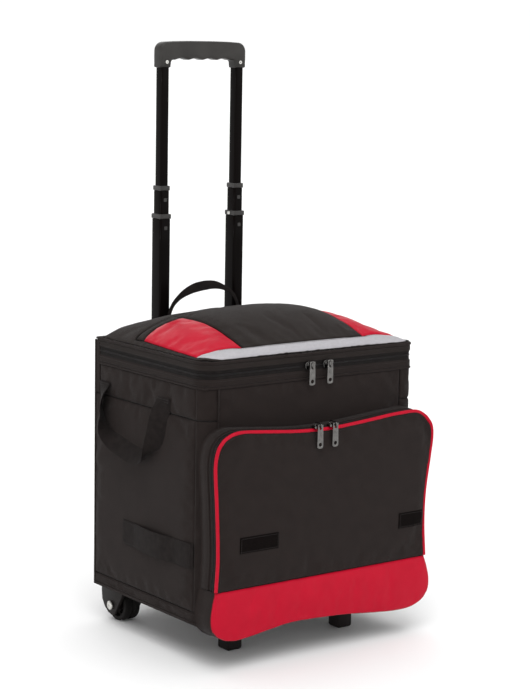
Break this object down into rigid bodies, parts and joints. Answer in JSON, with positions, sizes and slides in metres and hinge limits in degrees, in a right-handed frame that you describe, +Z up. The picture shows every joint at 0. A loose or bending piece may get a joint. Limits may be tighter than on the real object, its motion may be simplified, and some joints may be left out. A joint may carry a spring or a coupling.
{
  "type": "cooler on wheels",
  "caption": "Soft-sided insulated cooler bag with zipped lid and front pocket, webbing handles, rear wheels, front feet and a telescopic tow handle.",
  "frame": {"origin": "on the ground, under the middle of the whole object", "axes": "+Z up, +Y to the rear where the tow handle stands, +X to the right seen from the front"},
  "size_m": [0.38, 0.3423, 0.83],
  "materials": {
    "black_fabric": "woven polyester, matt",
    "red_vinyl": "coated fabric, soft gloss",
    "grey_tape": "smooth grey tape, satin",
    "black_webbing": "woven webbing",
    "white_foam": "closed-cell foam",
    "white_liner": "smooth film",
    "black_plastic": "moulded, lightly grained",
    "black_enamel": "gloss black paint",
    "dark_metal": "dark plated",
    "bright_steel": "bright zinc",
    "tread_rubber": "moulded black"
  },
  "bodies": {
    "bag": {"bottom_panel": "black_fabric", "front_panel": "black_fabric", "rear_panel": "black_fabric", "left_panel": "black_fabric", "right_panel": "black_fabric", "base_board": "black_plastic", "foam_box": "white_foam", "inner_liner": "white_liner", "body_zip_band": "black_fabric", "rear_cover": "black_fabric", "rear_strip": "black_fabric", "left_outer_tube": "black_enamel", "right_outer_tube": "black_enamel", "handle_bracket": "black_plastic", "pocket_gusset": "black_fabric", "pocket_base": "red_vinyl", "left_side_strap": "black_webbing", "right_side_strap": "black_webbing", "left_wheel_housing": "black_plastic", "right_wheel_housing": "black_plastic", "left_axle": "bright_steel", "right_axle": "bright_steel", "left_foot": "black_plastic", "right_foot": "black_plastic"},
    "lid": {"lid_panel": "black_fabric", "lid_left_wing": "red_vinyl", "lid_right_wing": "red_vinyl", "lid_strip": "grey_tape", "lid_band": "black_fabric", "lid_foam": "white_foam", "lid_liner": "white_liner"},
    "pocket_flap": {"pocket_flap": "black_fabric", "pocket_piping": "red_vinyl"},
    "lower_stage": {"left_lower_tube": "black_enamel", "right_lower_tube": "black_enamel", "left_lower_collar": "black_plastic", "right_lower_collar": "black_plastic"},
    "middle_stage": {"left_middle_tube": "black_enamel", "right_middle_tube": "black_enamel", "left_middle_collar": "black_plastic", "right_middle_collar": "black_plastic"},
    "upper_stage": {"left_upper_tube": "black_enamel", "right_upper_tube": "black_enamel", "grip": "black_plastic"},
    "haul_handle": {"haul_handle": "black_webbing"},
    "left_wheel": {"left_wheel": "tread_rubber"},
    "left_side_handle": {"left_side_handle": "black_webbing"},
    "left_lock_button": {"left_lock_button": "bright_steel"},
    "lid_left_slider": {"lid_left_slider": "dark_metal"},
    "lid_left_pull": {"lid_left_pull": "dark_metal"},
    "pocket_left_slider": {"pocket_left_slider": "dark_metal"},
    "pocket_left_pull": {"pocket_left_pull": "dark_metal"},
    "right_wheel": {"right_wheel": "tread_rubber"},
    "right_side_handle": {"right_side_handle": "black_webbing"},
    "right_lock_button": {"right_lock_button": "bright_steel"},
    "lid_right_slider": {"lid_right_slider": "dark_metal"},
    "lid_right_pull": {"lid_right_pull": "dark_metal"},
    "pocket_right_slider": {"pocket_right_slider": "dark_metal"},
    "pocket_right_pull": {"pocket_right_pull": "dark_metal"}
  },
  "joints": [
    {"name": "lid_hinge", "type": "hinge", "parent": "bag", "child": "lid", "pos_m": [0, 0.1328, 0.428], "axis": [-1, 0, 0], "range_deg": [0, 60]},
    {"name": "pocket_hinge", "type": "hinge", "parent": "bag", "child": "pocket_flap", "pos_m": [0, -0.1645, 0.112], "axis": [1, 0, 0], "range_deg": [0, 80]},
    {"name": "lower_stage_slide", "type": "slide", "parent": "bag", "child": "lower_stage", "axis": [0, 0, 1], "range_m": [-0.154, 0.06]},
    {"name": "middle_stage_slide", "type": "slide", "parent": "lower_stage", "child": "middle_stage", "axis": [0, 0, 1], "range_m": [-0.0315, 0.15]},
    {"name": "upper_stage_slide", "type": "slide", "parent": "middle_stage", "child": "upper_stage", "axis": [0, 0, 1], "range_m": [-0.166, 0.04]},
    {"name": "haul_handle_fold", "type": "hinge", "parent": "bag", "child": "haul_handle", "pos_m": [0, 0.1334, 0.4152], "axis": [-1, 0, 0], "range_deg": [-25, 0]},
    {"name": "left_wheel_spin", "type": "hinge", "parent": "bag", "child": "left_wheel", "pos_m": [-0.144, 0.1215, 0.024], "axis": [1, 0, 0], "continuous": true},
    {"name": "left_side_handle_swing", "type": "hinge", "parent": "bag", "child": "left_side_handle", "pos_m": [-0.1875, 0.0115, 0.352], "axis": [0, 1, 0], "range_deg": [0, 100]},
    {"name": "left_lock_button_press", "type": "slide", "parent": "lower_stage", "child": "left_lock_button", "axis": [-1, 0, 0], "range_m": [0, 0.0012], "stiffness_N_per_m": 400, "springref_m": -0.002},
    {"name": "lid_left_slider_run", "type": "slide", "parent": "lid", "child": "lid_left_slider", "axis": [-1, 0, 0], "range_m": [0, 0.145]},
    {"name": "lid_left_pull_swing", "type": "hinge", "parent": "lid_left_slider", "child": "lid_left_pull", "pos_m": [-0.007, -0.134, 0.401], "axis": [-1, 0, 0], "range_deg": [0, 150]},
    {"name": "pocket_left_slider_run", "type": "slide", "parent": "pocket_flap", "child": "pocket_left_slider", "axis": [-1, 0, 0], "range_m": [0, 0.125]},
    {"name": "pocket_left_pull_swing", "type": "hinge", "parent": "pocket_left_slider", "child": "pocket_left_pull", "pos_m": [-0.019, -0.1697, 0.321], "axis": [-1, 0, 0], "range_deg": [0, 150]},
    {"name": "right_wheel_spin", "type": "hinge", "parent": "bag", "child": "right_wheel", "pos_m": [0.144, 0.1215, 0.024], "axis": [1, 0, 0], "continuous": true},
    {"name": "right_side_handle_swing", "type": "hinge", "parent": "bag", "child": "right_side_handle", "pos_m": [0.1875, 0.0115, 0.352], "axis": [0, -1, 0], "range_deg": [0, 100]},
    {"name": "right_lock_button_press", "type": "slide", "parent": "lower_stage", "child": "right_lock_button", "axis": [1, 0, 0], "range_m": [0, 0.0012], "stiffness_N_per_m": 400, "springref_m": -0.002},
    {"name": "lid_right_slider_run", "type": "slide", "parent": "lid", "child": "lid_right_slider", "axis": [1, 0, 0], "range_m": [0, 0.145]},
    {"name": "lid_right_pull_swing", "type": "hinge", "parent": "lid_right_slider", "child": "lid_right_pull", "pos_m": [0.024, -0.134, 0.401], "axis": [-1, 0, 0], "range_deg": [0, 150]},
    {"name": "pocket_right_slider_run", "type": "slide", "parent": "pocket_flap", "child": "pocket_right_slider", "axis": [1, 0, 0], "range_m": [0, 0.125]},
    {"name": "pocket_right_pull_swing", "type": "hinge", "parent": "pocket_right_slider", "child": "pocket_right_pull", "pos_m": [0.007, -0.1697, 0.321], "axis": [-1, 0, 0], "range_deg": [0, 150]}
  ]
}
